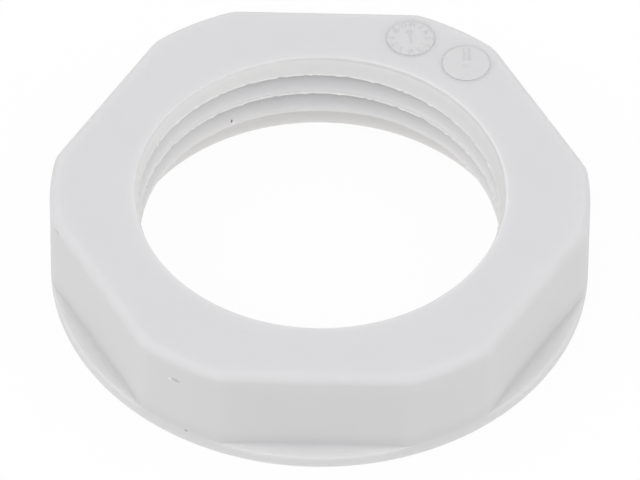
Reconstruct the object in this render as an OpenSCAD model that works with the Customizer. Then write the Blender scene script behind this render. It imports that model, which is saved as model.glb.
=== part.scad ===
// Cable gland locknut, moulded in one piece.
// The origin is the centre of the collar's rest face, and +Z runs up the bore.

/* [Nut] */
// Wall between the thread's roots and a flat; with these roots it makes 27 across the flats
flat_wall = 3.3; // [2.5:0.1:5]
// How far the round collar and the corners stand out past the flats
collar_lip = 0.9; // [0.6:0.05:1.5]
// Height from the rest face to the top face
nut_h = 6; // [5.4:0.1:8]
// Thickness of the collar below the flats
collar_t = 0.8; // [0.6:0.05:1.4]
// Number of flats
flat_count = 6; // [4:1:6]

/* [Edges] */
// Radius along the top edge of each flat
flat_edge_r = 0.5; // [0.2:0.05:0.8]
// How much less the radius is round the corners between the flats
corner_edge_less = 0.04; // [0.02:0.01:0.1]
// Radius of the cove where a flat meets the collar
flat_cove_r = 0.25; // [0.1:0.05:0.4]
// Radius along both edges of the collar
collar_edge_r = 0.15; // [0.05:0.05:0.25]

/* [Bore] */
// How much the plain lead-in has opened beyond the crests at the top face
lead_in_step = 0.275; // [0.2:0.025:0.5]
// Depth of the lead-in, down to the first full crest
lead_in_depth = 1.1; // [0.6:0.1:1.6]
// Radius along the rim of the lead-in
lead_in_edge_r = 0.05; // [0.03:0.01:0.15]
// Clearance between the thread's roots and the wall of the plain counterbore
counterbore_clearance = 0.525; // [0.2:0.025:0.8]
// Depth of the counterbore
counterbore_depth = 1.1; // [0.6:0.1:1.4]
// Height of the cone between the counterbore and the crests
shoulder_h = 1.05; // [0.4:0.05:1.2]

/* [Thread] */
// Diameter at the thread's roots, which is the size of gland that the nut takes
root_d = 20.4; // [18:0.1:28]
// Depth of the thread, from its roots to crests whose wall is a true cylinder
thread_depth = 0.6; // [0.5:0.01:0.68]
// Rise of the thread in one turn, 18 turns to the inch
pitch = 1.411; // [1.35:0.001:1.5]
// Angle between the two flanks
flank_angle = 80; // [60:1:80]
// Width of a crest along the axis
crest_land = 0.26; // [0.2:0.01:0.3]
// How far the middle of the groove lies below the top face, straight behind the axis
groove_drop = 1.625; // [1.5:0.005:1.8]
// Angle past the back at which the groove has run out into the lead-in
groove_end_angle = 170; // [120:5:220]
// Angle over which the groove gets shallower before it ends
run_out_angle = 60; // [30:6:90]

/* [Hidden] */
$fn = 96;
through = 1;
plastic_colour = [0.85, 0.86, 0.87];

root_r = root_d / 2;
crest_r = root_r - thread_depth;
counterbore_r = root_r + counterbore_clearance;
lead_in_r = crest_r + lead_in_step;
flat_x = root_r + flat_wall;
collar_r = flat_x + collar_lip;
corner_edge_r = flat_edge_r - corner_edge_less;
groove_back_z = nut_h - groove_drop;

// The groove's section: flanks that close in on a rounded root.
flank_run = tan(flank_angle / 2);
groove_half = (pitch - crest_land) / 2;
cut_over = crest_land / 4 / flank_run;
root_round = thread_depth / 11;
root_half = max(0.03, groove_half - (thread_depth - root_round) * flank_run);
groove_section = [
    [-thread_depth - cut_over, -groove_half - crest_land / 4],
    [-root_round, -root_half],
    [0, -root_half / 3],
    [0, root_half / 3],
    [-root_round, root_half],
    [-thread_depth - cut_over, groove_half + crest_land / 4]
];

// The groove's path: a right-hand helix, from inside the counterbore up to its run-out.
step_angle = 6;
back_angle = 90;
groove_low_z = counterbore_depth - groove_half - crest_land;
low_steps = ceil((groove_back_z - groove_low_z) / pitch * 360 / step_angle);
high_steps = ceil(groove_end_angle / step_angle);
run_out_steps = run_out_angle / step_angle;

// How far the section has drawn back from full depth at one step of the path
function draw_back(k) =
    (thread_depth + cut_over / 2) * max(0, 1 - (high_steps - k) / run_out_steps);

// One ring of the groove, k steps past the back
function groove_ring(k) = [
    for (p = groove_section)
        let (r = root_r + p[0] - draw_back(k), a = back_angle + k * step_angle)
            [r * cos(a), r * sin(a), groove_back_z + pitch * k * step_angle / 360 + p[1]]
];

// The helical groove that is cut from the bore's wall
module thread_groove() {
    sides = len(groove_section);
    rings = low_steps + high_steps;
    points = [for (k = [-low_steps:high_steps]) each groove_ring(k)];
    walls = [
        for (i = [0:rings - 1], j = [0:sides - 1])
            let (a = i * sides + j, b = i * sides + (j + 1) % sides)
                each [[a, b, a + sides], [b, b + sides, a + sides]]
    ];
    first_cap = [for (j = [1:sides - 2]) [0, j + 1, j]];
    last = rings * sides;
    last_cap = [for (j = [1:sides - 2]) [last, last + j, last + j + 1]];
    polyhedron(points, concat(walls, first_cap, last_cap));
}

// Right half of the nut's turned outline, with its edges rounded
module outer_section() {
    square([collar_r - collar_edge_r, nut_h]);
    translate([0, collar_edge_r])
        square([collar_r, nut_h - collar_edge_r - corner_edge_r]);
    translate([collar_r - collar_edge_r, collar_edge_r])
        circle(collar_edge_r);
    translate([collar_r - corner_edge_r, nut_h - corner_edge_r])
        circle(corner_edge_r);
}

// What one flat takes away, seen along the flat
module flat_section() {
    difference() {
        translate([flat_x - flat_edge_r, collar_t])
            square([collar_r, nut_h + through - collar_t]);
        translate([flat_x - 2 * flat_edge_r, collar_t - through])
            square([2 * flat_edge_r, nut_h - flat_edge_r - collar_t + through]);
        translate([flat_x - flat_edge_r, nut_h - flat_edge_r])
            circle(flat_edge_r);
        difference() {
            translate([flat_x - through, collar_t - through])
                square(flat_cove_r + through);
            translate([flat_x + flat_cove_r, collar_t + flat_cove_r])
                circle(flat_cove_r);
        }
    }
}

module flats() {
    for (k = [0:flat_count - 1])
        rotate([0, 0, k * 360 / flat_count - back_angle])
            rotate([90, 0, 0])
                translate([0, 0, -collar_r])
                    linear_extrude(2 * collar_r)
                        flat_section();
}

// Right half of the plain lead-in, opening upwards to its rounded rim
module lead_in_section() {
    rim_r = lead_in_r + lead_in_edge_r;
    difference() {
        polygon([
            [0, nut_h - lead_in_depth],
            [crest_r, nut_h - lead_in_depth],
            [lead_in_r, nut_h - lead_in_edge_r],
            [rim_r, nut_h - lead_in_edge_r],
            [rim_r, nut_h + through],
            [0, nut_h + through]
        ]);
        translate([rim_r, nut_h - lead_in_edge_r])
            circle(lead_in_edge_r);
    }
}

// Right half of the counterbore, with the cone that leads up to the crests
module counterbore_section() {
    polygon([
        [0, -through],
        [counterbore_r, -through],
        [counterbore_r, counterbore_depth],
        [crest_r, counterbore_depth + shoulder_h],
        [0, counterbore_depth + shoulder_h]
    ]);
}

// The bore without its thread
module plain_bore() {
    translate([0, 0, -through])
        cylinder(h = nut_h + 2 * through, r = crest_r);
    rotate_extrude()
        counterbore_section();
    rotate_extrude()
        lead_in_section();
}

module locknut() {
    color(plastic_colour)
        difference() {
            rotate_extrude()
                outer_section();
            flats();
            plain_bore();
            thread_groove();
        }
}

locknut();
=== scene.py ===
from math import cos, radians, sin
import bpy
import numpy as np
from mathutils import Matrix, Vector


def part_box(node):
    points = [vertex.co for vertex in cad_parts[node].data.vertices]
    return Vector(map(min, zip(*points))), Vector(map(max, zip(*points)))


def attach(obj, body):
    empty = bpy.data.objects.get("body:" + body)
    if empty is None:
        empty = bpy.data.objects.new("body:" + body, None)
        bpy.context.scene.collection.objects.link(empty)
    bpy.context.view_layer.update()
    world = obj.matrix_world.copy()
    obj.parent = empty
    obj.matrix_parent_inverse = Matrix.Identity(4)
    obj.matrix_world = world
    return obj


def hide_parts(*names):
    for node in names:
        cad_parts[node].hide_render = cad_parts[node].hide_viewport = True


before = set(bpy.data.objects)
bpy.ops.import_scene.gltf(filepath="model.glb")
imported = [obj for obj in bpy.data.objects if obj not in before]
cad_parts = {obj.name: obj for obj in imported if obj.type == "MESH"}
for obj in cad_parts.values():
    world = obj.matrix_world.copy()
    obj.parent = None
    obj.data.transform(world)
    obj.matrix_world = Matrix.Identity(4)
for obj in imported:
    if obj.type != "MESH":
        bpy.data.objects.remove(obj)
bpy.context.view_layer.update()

lowCorner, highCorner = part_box("locknut")
mm = 0.001
top = highCorner[2]
collarRadius = (highCorner[0] - lowCorner[0]) / 2
print("frame loaded, collar radius", round(collarRadius / mm, 3), "mm")


# The camera stands in front of one flat and looks down on the nut through a long lens. Angles are in
# degrees, and sideways and raised say where the origin lies from the picture's middle.
cameraView = {
    "azimuth": 0.965,
    "elevation": 46.99,
    "roll": 0.459,
    "distance": 582.2 * mm,
    "sideways": -0.026 * mm,
    "raised": -1.495 * mm,
    "lens": 610.5,
    "nearest": 50 * mm,
    "farthest": 5000 * mm,
}


def placeCamera():
    azimuth, elevation, roll = (radians(cameraView[name]) for name in ("azimuth", "elevation", "roll"))
    back = Vector((sin(azimuth) * cos(elevation), -cos(azimuth) * cos(elevation), sin(elevation)))
    level = Vector((cos(azimuth), sin(azimuth), 0))
    upright = back.cross(level)
    right = level * cos(roll) + upright * sin(roll)
    up = upright * cos(roll) - level * sin(roll)
    place = back * cameraView["distance"] - right * cameraView["sideways"] - up * cameraView["raised"]
    data = bpy.data.cameras.new("camera")
    data.lens = cameraView["lens"]
    data.clip_start, data.clip_end = cameraView["nearest"], cameraView["farthest"]
    camera = bpy.data.objects.new("camera", data)
    bpy.context.scene.collection.objects.link(camera)
    camera.matrix_world = Matrix.Translation(place) @ Matrix((right, up, back)).transposed().to_4x4()
    bpy.context.scene.camera = camera


placeCamera()
print("camera placed")


# Points closer than the weld distance count as one. A crowded range is measured in fine steps.
weldDistance = 0.0001 * mm
fineSteps = 4000


# Joined smoothly, the smaller or the larger of two values; spread is how far the join reaches.
def softMin(a, b, spread):
    return np.minimum(a, b) - spread * np.log1p(np.exp(-np.abs(a - b) / spread))


def softMax(a, b, spread):
    return -softMin(-a, -b, spread)


def blend(a, b, share):
    return a + (b - a) * share


# A column of numbers for a grid's rows, so that it spreads over the grid's columns
def column(*values):
    return np.array(values)[:, None]


def steps(first, last, count):
    return np.linspace(first, last, count)[:, None]


def quarterTurn(rows):
    return np.radians(steps(0, 90, rows))


# Places from low to high, crowded round some of them. Their density is 1, plus extra at each crowded
# place, falling off as a bell curve of the given width.
def crowded(low, high, count, places, width, extra):
    fine = np.linspace(low, high, fineSteps + 1)
    density = 1 + extra * sum(np.exp(-(((fine - place) / width) ** 2)) for place in places)
    amount = np.concatenate([[0], np.cumsum((density[1:] + density[:-1]) / 2)])
    return np.interp(np.linspace(0, amount[-1], count + 1), amount, fine)


# Puts a grid of points into one mesh: neighbours become two triangles, points that coincide become
# one, and triangles that have lost a side go.
def surface(name, grid, marks=None, closeRows=False):
    rows, columns = grid.shape[:2]
    number = np.arange(rows * columns).reshape(rows, columns)
    if closeRows:
        number = np.vstack([number, number[:1]])
    a, b, c, d = number[:-1, :-1], number[:-1, 1:], number[1:, 1:], number[1:, :-1]
    faces = np.concatenate([np.stack(corners, -1).reshape(-1, 3) for corners in ((a, b, c), (a, c, d))])
    points = grid.reshape(-1, 3)
    near = np.round(points / weldDistance).astype(np.int64)
    _, first, owner = np.unique(near, axis=0, return_index=True, return_inverse=True)
    faces = owner.reshape(-1)[faces]
    faces = faces[(faces != np.roll(faces, 1, axis=1)).all(axis=1)]
    mesh = bpy.data.meshes.new(name)
    mesh.from_pydata(points[first].tolist(), [], faces.tolist())
    for mark, values in (marks or {}).items():
        layer = mesh.attributes.new(mark, "FLOAT", "POINT")
        layer.data.foreach_set("value", np.ascontiguousarray(values.reshape(-1)[first], np.float32))
    mesh.shade_smooth()
    piece = bpy.data.objects.new(name, mesh)
    bpy.context.scene.collection.objects.link(piece)
    print(name, "has", len(faces), "triangles")
    return piece


# The nut's outside: flats cut into a round collar, with every edge rounded. The ledge is what each
# flat leaves of the collar, and it carries painted light where it is wide. Columns crowd round the
# corners.
body = {
    "flats": 6,
    "frontAngle": -90,
    "flatDistance": 13.5 * mm,
    "collarThickness": 0.8 * mm,
    "topEdge": 0.5 * mm,
    "cove": 0.25 * mm,
    "collarEdge": 0.15 * mm,
    "cornerSoftness": 0.05 * mm,
    "ledgePaleness": 0.7,
    "paleLedgeWidth": 0.3 * mm,
    "columnsPerFlat": 100,
    "crowdWidth": 1,
    "crowdExtra": 7,
    "edgeRows": 6,
    "topEdgeRows": 10,
}

# How far round from a flat's middle its line meets the collar's circle
cornerAngle = np.degrees(np.arccos(body["flatDistance"] / collarRadius))

# The bore: a plain counterbore below with a conical shoulder, a conical lead-in above, and the thread
# between them. Painted light lies on the lead-in, strongest on one side, and a painted glint runs
# along the rim on another side.
bore = {
    "leadInRadius": 9.875 * mm,
    "leadInDepth": 1.1 * mm,
    "rimEdge": 0.05 * mm,
    "rimGlint": 0.26,
    "glintSide": 35,
    "counterRadius": 10.725 * mm,
    "counterDepth": 1.1 * mm,
    "counterEdge": 0.1 * mm,
    "shoulderHeight": 1.05 * mm,
    "leadInPaleness": 0.7,
    "paleVariation": 0.35,
    "palestSide": 150,
    "mouthPaleness": 0.7,
    "edgeRows": 5,
}

# The thread: a right-hand helix whose groove has rounded roots, and flanks at 80 degrees to each
# other. Its turns are counted from the back of the bore, and so is the angle at which it ends. The
# edge under each crest wanders a little. Rows crowd round the crests' edges.
thread = {
    "rootRadius": 10.2 * mm,
    "crestRadius": 9.6 * mm,
    "pitch": 1.411 * mm,
    "flankAngle": 80,
    "crestLand": 0.26 * mm,
    "backAngle": 90,
    "backHeight": 4.375 * mm,
    "endAngle": 170,
    "runOut": 60,
    "runOutRounds": 4,
    "rootRound": 0.035 * mm,
    "crestRound": 0.02 * mm,
    "edgeWander": 0.006 * mm,
    "wanderPace": 61.7,
    "wanderSway": 7.4,
    # Painted light under the crests, and at the bore's sides
    "undersidePaleness": 0.85,
    "undersideReach": 0.2 * mm,
    "sidePaleness": 0.6,
    "rowsPerTurn": 22,
    "crowdWidth": 0.04,
    "crowdExtra": 3,
}
grooveHalf = (thread["pitch"] - thread["crestLand"]) / 2

# Flash stands along the edge under each crest, in uneven nibs that come in clusters. It grows from
# its start along the helix and fades just below the shoulder's top. Its pale colour is a painted
# highlight, which shows less at the bore's sides.
flash = {
    "height": 0.05 * mm,
    "width": 0.04 * mm,
    "unevenness": 1.4,
    "nibPace": 83.4,
    "nibSway": 11.3,
    "clusterPace": 17.6,
    "clusterShift": 1,
    "startAngle": -630,
    "growth": 60,
    "least": 0.2,
    "shoulderFade": 0.08 * mm,
    "sideFade": 0.7,
}

# Where rows lie on the plain parts, as shares of the way across. The outermost are near the edges, so
# that the shading stays flat between them.
rowShares = {
    "restFace": column(0.03, 0.2, 0.4, 0.6, 0.8, 0.97),
    "ledge": column(0.06, 0.5, 0.94),
    "flat": column(0.02, 0.25, 0.5, 0.75, 0.98),
    "topFace": column(0.02, 0.2, 0.4, 0.6, 0.8, 0.965),
    "paintedGlint": column(0.983, 0.999),
    "counterbore": column(0.1, 0.4, 0.7, 0.97),
}


# Distance of the outside wall from the axis: the collar's circle or the flat's line, whichever is
# nearer, both moved inwards by inset.
def wallRadius(fromFlat, inset):
    line = (body["flatDistance"] - inset) / np.cos(np.radians(fromFlat))
    return softMin(collarRadius - inset, line, body["cornerSoftness"])


# A sine wave whose pace sways, so that no two turns of the helix look alike. The paces aren't whole
# numbers for the same reason.
swayDepth = 4


def swayingWave(angle, pace, sway):
    return np.sin(pace * angle + swayDepth * np.sin(sway * angle))


# Radius of the bore's wall at an angle and a height. The groove is a V round its helix, cut off at
# the roots, drawn back to nothing at its upper end, and joined to the crests by a small round. Where
# the lead-in's cone or the shoulder's is wider than that, the cone is the wall. Two marks come with
# it: the flash with its painted highlight, and painted light on the wall.
def boreRadius(angle, z):
    turns = (z - thread["backHeight"]) / thread["pitch"] - (angle - thread["backAngle"]) / 360
    turn = np.round(turns)
    across = (turns - turn) * thread["pitch"]
    underCrest = across > 0
    past = angle - thread["backAngle"] + 360 * turn
    fade = np.clip(1 - (thread["endAngle"] - past) / thread["runOut"], 0, 1)
    slope = np.tan(np.radians(thread["flankAngle"] / 2))
    along = np.radians(angle + 360 * turn)
    wave = swayingWave(along, thread["wanderPace"], thread["wanderSway"])
    wander = thread["edgeWander"] * wave * underCrest
    flank = thread["crestRadius"] + (grooveHalf - np.abs(across) + wander) / slope
    groove = softMin(flank, thread["rootRadius"], thread["rootRound"])
    depth = thread["rootRadius"] - thread["crestRadius"]
    groove = groove - fade * (depth + thread["runOutRounds"] * thread["crestRound"])
    wall = softMax(thread["crestRadius"], groove, thread["crestRound"])
    coneTop = top - bore["rimEdge"]
    coneFoot = top - bore["leadInDepth"]
    leadIn = blend(thread["crestRadius"], bore["leadInRadius"], (z - coneFoot) / (coneTop - coneFoot))
    upShoulder = (z - bore["counterDepth"]) / bore["shoulderHeight"]
    shoulder = blend(bore["counterRadius"], thread["crestRadius"], upShoulder)
    plain = np.maximum(leadIn, shoulder)

    # Painted light on the smooth parts: on the lead-in, strongest on one side, and on the shoulder
    fromPalest = np.radians(angle - bore["palestSide"])
    leadInPale = bore["leadInPaleness"] + bore["paleVariation"] * np.cos(fromPalest)
    plainPale = np.where(leadIn > shoulder, leadInPale, bore["mouthPaleness"])

    # The square of the cosine is 0 at the front and the back of the bore, and 1 at its sides.
    aside = np.cos(np.radians(angle)) ** 2
    # Painted light in the groove, under the crests and more at the bore's sides
    groovePale = thread["undersidePaleness"] * np.clip(across / thread["undersideReach"], 0, 1)
    groovePale = np.maximum(groovePale, thread["sidePaleness"] * aside)
    paintedLight = np.where(wall <= plain, plainPale, groovePale)

    # The flash is a bell curve of the distance from the crest's edge.
    nibs = swayingWave(along, flash["nibPace"], flash["nibSway"])
    uneven = (nibs * np.sin(flash["clusterPace"] * along + flash["clusterShift"])) ** 3
    fromEdge = (groove - np.maximum(plain, thread["crestRadius"])) * slope / flash["width"]
    fromShoulder = z - bore["counterDepth"] - bore["shoulderHeight"]
    aboveShoulder = np.clip(1 + fromShoulder / flash["shoulderFade"], 0, 1)
    lipHighlight = np.exp(-(fromEdge**2)) * (1 + flash["unevenness"] * uneven) * aboveShoulder
    grown = np.clip((past - flash["startAngle"]) / flash["growth"], flash["least"], 1)
    lipHighlight = lipHighlight * (fade < 1) * underCrest * grown
    return np.maximum(wall, plain) - flash["height"] * lipHighlight, lipHighlight * (1 - flash["sideFade"] * aside), paintedLight


# The nut is one closed surface. Its rows go round the section: out along the rest face, up the
# outside, in over the top face and down the bore. Its columns go round the axis.
def nutSurface():
    flats = body["flats"]
    half = 180 / flats
    crowding = (-cornerAngle, cornerAngle), body["crowdWidth"], body["crowdExtra"]
    sector = crowded(-half, half, body["columnsPerFlat"], *crowding)
    fromFlat = np.concatenate([np.tile(sector[:-1], flats), sector[:1]])
    angle = np.concatenate([sector[:-1] + 2 * half * k for k in range(flats)] + [sector[:1] + 360])
    angle = angle + body["frontAngle"]
    everywhere = np.ones_like(angle)
    rings = []

    # Adds one or more rows, each with its radius, height and two marks: the flash with its painted
    # highlight, and painted light
    def ring(radius, z, lipHighlight=0, paintedLight=0):
        rings.append(np.stack(np.broadcast_arrays(radius, z, lipHighlight, paintedLight, everywhere[None])[:4], -1))

    edge, cove = body["collarEdge"], body["cove"]
    floorRim = bore["counterRadius"] + bore["counterEdge"]
    ring(blend(floorRim, collarRadius - edge, rowShares["restFace"]), 0)
    turn = quarterTurn(body["edgeRows"])
    ring(collarRadius - edge + edge * np.sin(turn), edge - edge * np.cos(turn))

    ledge = body["collarThickness"]
    wall = wallRadius(fromFlat, 0)
    ledgeWidth = collarRadius - wall
    ledgeEdge = np.minimum(edge, ledgeWidth / 2)
    coveNow = np.minimum(cove, ledgeWidth / 2)
    rounding = collarRadius - ledgeEdge + ledgeEdge * np.cos(turn)
    ring(rounding, ledge - ledgeEdge + ledgeEdge * np.sin(turn))
    # Painted light on the ledge where it is wide, fading up the cove
    paintedLight = body["ledgePaleness"] * np.clip(ledgeWidth / body["paleLedgeWidth"], 0, 1)
    ring(blend(collarRadius - ledgeEdge, wall + coveNow, rowShares["ledge"]), ledge, 0, paintedLight)
    coveHeight = ledge + coveNow - coveNow * np.cos(turn)
    ring(wall + coveNow - coveNow * np.sin(turn), coveHeight, 0, paintedLight * (1 - np.sin(turn)))
    edge = body["topEdge"]
    ring(wall, blend(ledge + coveNow, top - edge, rowShares["flat"]))
    turn = quarterTurn(body["topEdgeRows"])
    ring(wallRadius(fromFlat, edge - edge * np.cos(turn)), top - edge + edge * np.sin(turn))

    edge = bore["rimEdge"]
    rim = bore["leadInRadius"] + edge
    wall = wallRadius(fromFlat, body["topEdge"])
    ring(blend(wall, rim, rowShares["topFace"]), top)
    # A painted glint along the rim, strongest on one side
    paintedGlint = bore["rimGlint"] * np.clip(np.cos(np.radians(angle - bore["glintSide"])), 0, 1) ** 2
    ring(blend(wall, rim, rowShares["paintedGlint"]), top, paintedGlint)
    turn = quarterTurn(bore["edgeRows"])
    ring(rim - edge * np.sin(turn), top - edge + edge * np.cos(turn))

    # These rows follow the helix, so that no crest runs across them. Where one leaves the thread's
    # height it lies on the end ring.
    upper, lower = top - bore["rimEdge"], bore["counterDepth"]
    pitch, backHeight = thread["pitch"], thread["backHeight"]
    fromBack = (angle - thread["backAngle"]) / 360
    share = grooveHalf / pitch
    crowding = (-share, share), thread["crowdWidth"], thread["crowdExtra"]
    oneTurn = crowded(-0.5, 0.5, thread["rowsPerTurn"], *crowding)[:-1]
    firstTurn = int(np.floor((lower - backHeight) / pitch - fromBack[0] - 1))
    lastTurn = int(np.ceil((upper - backHeight) / pitch - fromBack[0]))
    turns = np.concatenate([oneTurn + k for k in range(firstTurn, lastTurn + 1)])[::-1, None]
    z = np.clip(backHeight + pitch * (turns + fromBack), lower, upper)
    radius, lipHighlight, paintedLight = boreRadius(angle, z)
    ring(radius, z, lipHighlight, paintedLight)

    edge, radius = bore["counterEdge"], bore["counterRadius"]
    # Painted light on the counterbore
    ring(radius, blend(bore["counterDepth"], edge, rowShares["counterbore"]), 0, bore["mouthPaleness"])
    ring(radius + edge - edge * np.cos(turn), edge - edge * np.sin(turn))

    radius, z, lipHighlight, paintedLight = np.moveaxis(np.concatenate(rings), -1, 0)
    grid = np.stack([radius * np.cos(np.radians(angle)), radius * np.sin(np.radians(angle)), z], -1)
    return grid, {"lipHighlight": lipHighlight, "paintedLight": paintedLight}


nutGrid, nutMarks = nutSurface()
nut = surface("mouldedNut", nutGrid, nutMarks, closeRows=True)


# The mould's date dials stand on the top face: low round pads, higher on one side, with two ring
# grooves, raised numbers and a pointer. Each groove has its radius and the share of the pad's height
# that it takes. The pointer's strokes are in millimetres from the middle.
dial = {
    "radius": 1.3 * mm,
    "rise": 0.035 * mm,
    "tilt": 0.75,
    "sunk": 0.05 * mm,
    "edge": 0.08 * mm,
    "grooves": ((1.2 * mm, 0.5), (0.78 * mm, 0.35)),
    "grooveWidth": 0.035 * mm,
    "numberPlace": 1.02 * mm,
    "numberSize": 0.14 * mm,
    "digitStep": 1.8,
    "digitGap": 0.8,
    "strokeWidth": 0.035 * mm,
    "strokeRise": 0.065 * mm,
    "columns": 288,
    "rows": 56,
    "rowCrowding": 1.25,
}
dialKinds = {
    "monthDial": {
        "centre": (4.618 * mm, 11.448 * mm),
        "highSide": 70,
        "numbers": {month: 30 * month for month in range(1, 13)},
        "pointer": ((0.05, -0.35, -0.1, 0.62), (-0.1, 0.62, -0.22, 0.4), (-0.1, 0.62, 0.09, 0.43)),
    },
    "yearDial": {
        "centre": (7.663 * mm, 9.697 * mm),
        "highSide": 215,
        "numbers": {},
        "pointer": ((-0.14, 0.2, -0.14, 1.05), (0.14, 0.2, 0.14, 1.05), (-0.2, -0.25, 0.2, -0.25)),
    },
}

# Numerals of seven bars on a cell one wide and two high: each bar's ends, and the bars of each digit
barEnds = {
    "top": (0, 2, 1, 2),
    "middle": (0, 1, 1, 1),
    "foot": (0, 0, 1, 0),
    "upLeft": (0, 1, 0, 2),
    "upRight": (1, 1, 1, 2),
    "downLeft": (0, 0, 0, 1),
    "downRight": (1, 0, 1, 1),
}
digitBars = (
    "top foot upLeft upRight downLeft downRight",
    "upRight downRight",
    "top middle foot upRight downLeft",
    "top middle foot upRight downRight",
    "middle upLeft upRight downRight",
    "top middle foot upLeft downRight",
    "top middle foot upLeft downLeft downRight",
    "top upRight downRight",
    "top middle foot upLeft upRight downLeft downRight",
    "top middle foot upLeft upRight downRight",
)


# A number's strokes, set upright at the head of the dial and then turned clockwise to its place
def numberStrokes(number, turn):
    digits = str(number)
    ends = [
        np.array(barEnds[bar]) + np.array([dial["digitStep"] * k, 0, dial["digitStep"] * k, 0])
        for k, digit in enumerate(digits)
        for bar in digitBars[int(digit)].split()
    ]
    middle = ((dial["digitStep"] * len(digits) - dial["digitGap"]) / 2, 1)
    ends = np.array(ends).reshape(-1, 2, 2) - middle
    ends = ends * dial["numberSize"] + (0, dial["numberPlace"])
    across, along = cos(radians(turn)), sin(radians(turn))
    return ends @ np.array([[across, -along], [along, across]])


# Distance from each point to the nearest of some straight strokes
def nearStroke(x, y, strokes):
    nearest = np.full(np.broadcast(x, y).shape, np.inf)
    for (x0, y0), (x1, y1) in strokes:
        dx, dy = x1 - x0, y1 - y0
        share = np.clip(((x - x0) * dx + (y - y0) * dy) / (dx * dx + dy * dy), 0, 1)
        nearest = np.minimum(nearest, np.hypot(x - x0 - share * dx, y - y0 - share * dy))
    return nearest


# A dial is a surface of turn and reach: from the middle of its underside, sunk in the nut, out to the
# edge, and back over the top. Its height adds up the pad, which leans to its high side as a cosine and
# drops at its edge as a square root, and the strokes, which are narrow ridges with flat tops.
def dialSurface(kind):
    turn = np.radians(np.linspace(0, 360, dial["columns"] + 1))
    under = column(0, 1)
    over = 1 - steps(0, 1, dial["rows"]) ** dial["rowCrowding"]
    reach = dial["radius"] * np.concatenate([under, over])
    x, y = reach * np.cos(turn), reach * np.sin(turn)
    strokes = np.array(kind["pointer"]).reshape(-1, 2, 2) * mm
    strokes = np.concatenate([strokes] + [numberStrokes(*entry) for entry in kind["numbers"].items()])
    lean = (1 + dial["tilt"] * np.cos(turn - radians(kind["highSide"])) * reach / dial["radius"]) / 2
    for place, depth in dial["grooves"]:
        lean = lean * (1 - depth * np.exp(-(((reach - place) / dial["grooveWidth"]) ** 2)))
    rounding = np.sqrt(np.clip((dial["radius"] - reach) / dial["edge"], 0, 1)) - 1
    away = nearStroke(x, y, strokes) / dial["strokeWidth"]
    height = dial["rise"] * (lean + rounding) + dial["strokeRise"] * np.exp(-(away**4))
    height[: len(under)] = -dial["sunk"]
    return np.stack([kind["centre"][0] + x, kind["centre"][1] + y, top + height], -1)


dialPieces = [surface(name, dialSurface(kind)) for name, kind in dialKinds.items()]


# A wrapped socket, so that shader maths is written as it is read
class Wire:
    def __init__(self, board, socket):
        self.board, self.socket = board, socket

    def maths(self, operation, first, second):
        return self.board.node("ShaderNodeMath", {"operation": operation}, {0: first, 1: second})

    def __add__(self, other):
        return self.maths("ADD", self, other)

    def __sub__(self, other):
        return self.maths("SUBTRACT", self, other)

    def __rsub__(self, other):
        return self.maths("SUBTRACT", other, self)

    def __mul__(self, other):
        return self.maths("MULTIPLY", self, other)

    __radd__ = __add__
    __rmul__ = __mul__


# A material's or the world's nodes
class Board:
    def __init__(self, owner):
        owner.use_nodes = True
        self.tree = owner.node_tree
        self.tree.nodes.clear()

    def node(self, kind, settings=None, sockets=None, output=0):
        made = self.tree.nodes.new(kind)
        for name, value in (settings or {}).items():
            setattr(made, name, value)
        for name, value in (sockets or {}).items():
            if isinstance(value, Wire):
                self.tree.links.new(value.socket, made.inputs[name])
            else:
                made.inputs[name].default_value = value
        return Wire(self, made.outputs[output]) if made.outputs else made

    def noise(self, place, size, detail=2):
        sockets = {"Vector": place, "Scale": 1 / size, "Detail": detail}
        return self.node("ShaderNodeTexNoise", sockets=sockets)

    def attribute(self, name):
        return self.node("ShaderNodeAttribute", {"attribute_name": name}, output="Fac")

    def along(self, place, axis):
        return self.node("ShaderNodeSeparateXYZ", sockets={0: place}, output=axis)

    # 1 for what the camera sees directly, 0 for the light that falls on things
    def cameraRay(self):
        return self.node("ShaderNodeLightPath", output="Is Camera Ray")

    # 0 at low and before it, 1 at high and past it, and smooth between them. Low can be the larger.
    def between(self, value, low, high):
        return self.node(
            "ShaderNodeMapRange", {"interpolation_type": "SMOOTHSTEP"}, {0: value, 1: low, 2: high}
        )

    # Distance to a place, where reach is the distance that counts as 1 along each axis
    def away(self, place, centre, reach):
        offset = self.node("ShaderNodeVectorMath", {"operation": "SUBTRACT"}, {0: place, 1: centre})
        offset = self.node("ShaderNodeVectorMath", {"operation": "DIVIDE"}, {0: offset, 1: reach})
        return self.node("ShaderNodeVectorMath", {"operation": "LENGTH"}, {0: offset}, output="Value")

    def mixColour(self, share, first, second):
        return self.node(
            "ShaderNodeMix", {"data_type": "RGBA"}, {0: share, 6: first, 7: second}, output=2
        )


# Light grey moulded plastic. Its colour carries painted highlights on the flash along the thread's
# crests and along the rim, painted light on the ledge and in the bore, and painted shade round the rim
# and at the flats' feet.
plastic = {
    "colour": (0.703, 0.699, 0.713, 1),
    "cloudColour": (0.691, 0.686, 0.697, 1),
    "highlightColour": (0.97, 0.97, 0.97, 1),
    "paleColour": (0.765, 0.763, 0.763, 1),
    "shadeColour": (0.64, 0.635, 0.645, 1),
    "rimOutwards": 0.15 * mm,
    "rimDepths": (0.22 * mm, 0.1 * mm),
    "rimWeakest": 0.35,
    "rimSides": (-4 * mm, 3 * mm),
    "footTop": 1.9 * mm,
    "footFade": 0.1 * mm,
    "footRadii": (12 * mm, 12.5 * mm),
    "footShade": 0.5,
    "dialShade": 0.45,
    "cloudSize": 5 * mm,
    "swellSize": 1.6 * mm,
    "swellShare": 3,
    "grainSize": 0.12 * mm,
    "bumpStrength": 0.12,
    "bumpDistance": 0.01 * mm,
    "roughness": 0.48,
    "roughnessSpread": 0.1,
    "refraction": 1.46,
    "milkiness": 0.8,
    "lightReach": 0.8 * mm,
}
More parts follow.
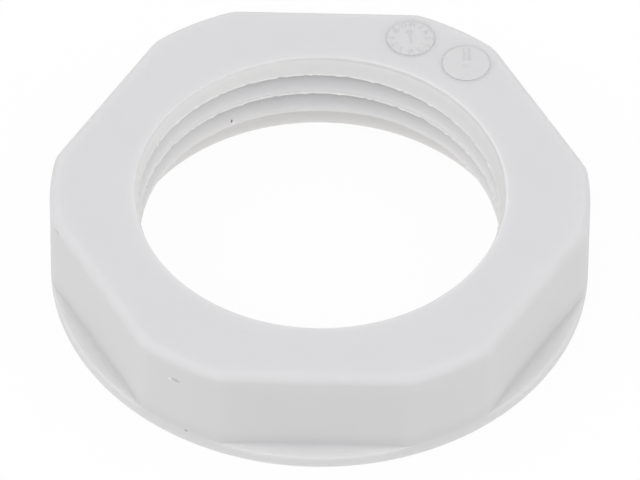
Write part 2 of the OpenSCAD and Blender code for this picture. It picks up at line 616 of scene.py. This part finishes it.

# Small marks of use and moulding: where each one is and how far it reaches along each axis, both in
# millimetres, its colour, and its depth in bump distances, below zero where it stands up. The dark
# colours are painted shade in the dents, and the pale ones painted highlights on the raised lips and
# nibs.
scuffsAndPaintedLight = {
    "nick": ((-7.316, -12.409, 4.46), (0.32, 0.32, 0.15), (0.56, 0.56, 0.57, 1), 4),
    "nickLip": ((-7.628, -12.209, 4.36), (0.09, 0.09, 0.09), (0.88, 0.88, 0.88, 1), -3),
    "speck": ((-6.767, -12.706, 0.86), (0.1, 0.1, 0.1), (0.4, 0.4, 0.42, 1), 4),
    "edgeNick": ((-13.909, -2.912, 5.52), (0.3, 0.3, 0.07), (0.5, 0.5, 0.52, 1), 5),
    "threadPit": ((-4.95, 8.35, 2.55), (0.065, 0.2, 0.075), (0.2, 0.2, 0.2, 1), 4),
    "pitLip": ((-4.86, 8.4, 2.42), (0.08, 0.2, 0.07), (0.95, 0.95, 0.95, 1), -3),
    "leftNib": ((-3.33, 9.05, 3.58), (0.09, 0.25, 0.16), (1, 1, 1, 1), -4),
    "rightNib": ((3.476, 9.0, 3.36), (0.08, 0.25, 0.12), (1, 1, 1, 1), -4),
}

# A mark, with its painted shade or highlight, is whole up to the first of these shares of its reach
# and gone at the second.
markFade = (0.5, 1.1)

# So long a reach upwards that only the distance from the axis counts
axisReach = (1, 1, 1e6)


# Thin pieces take no milkiness, because light would leave through their undersides. They would look
# paler than the nut for it, so they are shaded a little.
def plasticMaterial(name, milkiness, shade):
    material = bpy.data.materials.new(name)
    board = Board(material)
    place = board.node("ShaderNodeTexCoord", output="Object")
    cloud = board.noise(place, plastic["cloudSize"])
    swell = board.noise(place, plastic["swellSize"], detail=1)
    grain = board.noise(place, plastic["grainSize"], detail=3)
    height = grain + plastic["swellShare"] * swell
    x, z = board.along(place, "X"), board.along(place, "Z")
    fromAxis = board.away(place, (0, 0, 0), axisReach)

    # The rim's shade lies on its round and on the first of the cone below it, and weakens leftwards
    rim = bore["leadInRadius"]
    outwards = board.between(fromAxis, rim, rim + plastic["rimOutwards"])
    rimShade = (1 - outwards) * board.between(z, *(top - depth for depth in plastic["rimDepths"]))
    rimShade = rimShade * blend(plastic["rimWeakest"], 1, board.between(x, *plastic["rimSides"]))

    # Painted shade darkens the foot of each flat a little too, down to the cove
    ledge = body["collarThickness"]
    footShade = board.between(z, plastic["footTop"], ledge + body["cove"])
    footShade = footShade * board.between(z, ledge, ledge + plastic["footFade"])
    footShade = footShade * board.between(fromAxis, *plastic["footRadii"])

    colour = board.mixColour(cloud, plastic["colour"], plastic["cloudColour"])
    # Painted shade at the flats' feet, and over the whole of a thin piece
    colour = board.mixColour(footShade * plastic["footShade"] + shade, colour, plastic["shadeColour"])
    # Painted light on the ledge and in the bore
    colour = board.mixColour(board.attribute("paintedLight"), colour, plastic["paleColour"])
    colour = board.mixColour(rimShade, colour, plastic["shadeColour"])
    # Painted highlight on the flash along the crests and on the rim's glint
    colour = board.mixColour(board.attribute("lipHighlight"), colour, plastic["highlightColour"])
    # Each mark dents or raises the bump, with painted shade in a dent and a painted highlight on a nib
    for centre, reach, paintedLightTone, depth in scuffsAndPaintedLight.values():
        centre, reach = ([length * mm for length in lengths] for lengths in (centre, reach))
        markShare = 1 - board.between(board.away(place, centre, reach), *markFade)
        colour = board.mixColour(markShare, colour, paintedLightTone)
        height = height - depth * markShare

    bump = {"Strength": plastic["bumpStrength"], "Distance": plastic["bumpDistance"], "Height": height}
    shader = board.node(
        "ShaderNodeBsdfPrincipled",
        sockets={
            "Base Color": colour,
            "Roughness": plastic["roughness"] + plastic["roughnessSpread"] * (grain - 0.5),
            "IOR": plastic["refraction"],
            "Subsurface Weight": milkiness,
            "Subsurface Radius": (1, 1, 1),
            "Subsurface Scale": plastic["lightReach"],
            "Normal": board.node("ShaderNodeBump", sockets=bump),
        },
    )
    board.node("ShaderNodeOutputMaterial", sockets={"Surface": shader})
    return material


nut.data.materials.append(plasticMaterial("lightGreyPlastic", plastic["milkiness"], 0))
dialPlastic = plasticMaterial("dialPlastic", 0, plastic["dialShade"])
for piece in dialPieces:
    piece.data.materials.append(dialPlastic)
for piece in [nut] + dialPieces:
    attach(piece, "root")
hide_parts("locknut")
print("nut and dials dressed")


# Pale table and soft light from all round. The glow and the sky's strength are what falls on the nut;
# the camera sees the table's glow and the sky at full strength.
studio = {
    "floorRadius": 250 * mm,
    "floorDrop": 0.02 * mm,
    "floorColumns": 64,
    "floorColour": (0.93, 0.925, 0.915, 1),
    "floorWhite": 0.94,
    "floorGlow": 0.83,
    "glowColour": (1, 0.985, 0.965, 1),
    "skyStrength": 0.35,
}


def buildStudio():
    angle = np.radians(np.linspace(0, 360, studio["floorColumns"] + 1))
    reach = column(0, 1) * studio["floorRadius"]
    x, y = reach * np.cos(angle), reach * np.sin(angle)
    grid = np.stack([x, y, np.full_like(x, -studio["floorDrop"])], -1)
    floor = surface("floor", grid[::-1])
    material = bpy.data.materials.new("paleTable")
    board = Board(material)
    cameraRay = board.cameraRay()
    paint = board.node("ShaderNodeBsdfDiffuse", sockets={"Color": studio["floorColour"]})
    glow = blend(studio["floorGlow"], 1, cameraRay)
    glowColour = board.mixColour(cameraRay, studio["glowColour"], (1, 1, 1, 1))
    white = board.node("ShaderNodeEmission", sockets={"Color": glowColour, "Strength": glow})
    seen = board.node("ShaderNodeMixShader", sockets={0: studio["floorWhite"], 1: paint, 2: white})
    board.node("ShaderNodeOutputMaterial", sockets={"Surface": seen})
    floor.data.materials.append(material)

    world = bpy.data.worlds.new("studio")
    bpy.context.scene.world = world
    board = Board(world)
    strength = blend(studio["skyStrength"], 1, board.cameraRay())
    sky = board.node("ShaderNodeBackground", sockets={"Color": (1, 1, 1, 1), "Strength": strength})
    board.node("ShaderNodeOutputWorld", sockets={"Surface": sky})


# Large soft lamps, in metres and watts: where each one stands, how wide it is and how strong
lamps = {
    "frontTop": {"place": (0, -0.3, 0.52), "width": 0.7, "power": 0.49},
    "frontBank": {"place": (0, -0.5, 0.3), "width": 0.7, "power": 0.68},
    "leftBank": {"place": (-0.5, -0.13, 0.35), "width": 0.7, "power": 1.81},
    "rightBank": {"place": (0.5, -0.13, 0.35), "width": 0.7, "power": 1.6},
    "backBank": {"place": (0, 0.45, 0.4), "width": 0.7, "power": 1.29},
}


def hangLamps():
    for name, lamp in lamps.items():
        data = bpy.data.lights.new(name, "AREA")
        data.size, data.energy = lamp["width"], lamp["power"]
        holder = bpy.data.objects.new(name, data)
        bpy.context.scene.collection.objects.link(holder)
        place = Vector(lamp["place"])
        holder.location = place
        holder.rotation_euler = place.to_track_quat("Z", "Y").to_euler()


buildStudio()
hangLamps()
bpy.context.scene.view_settings.view_transform = "Standard"
print("studio lit")
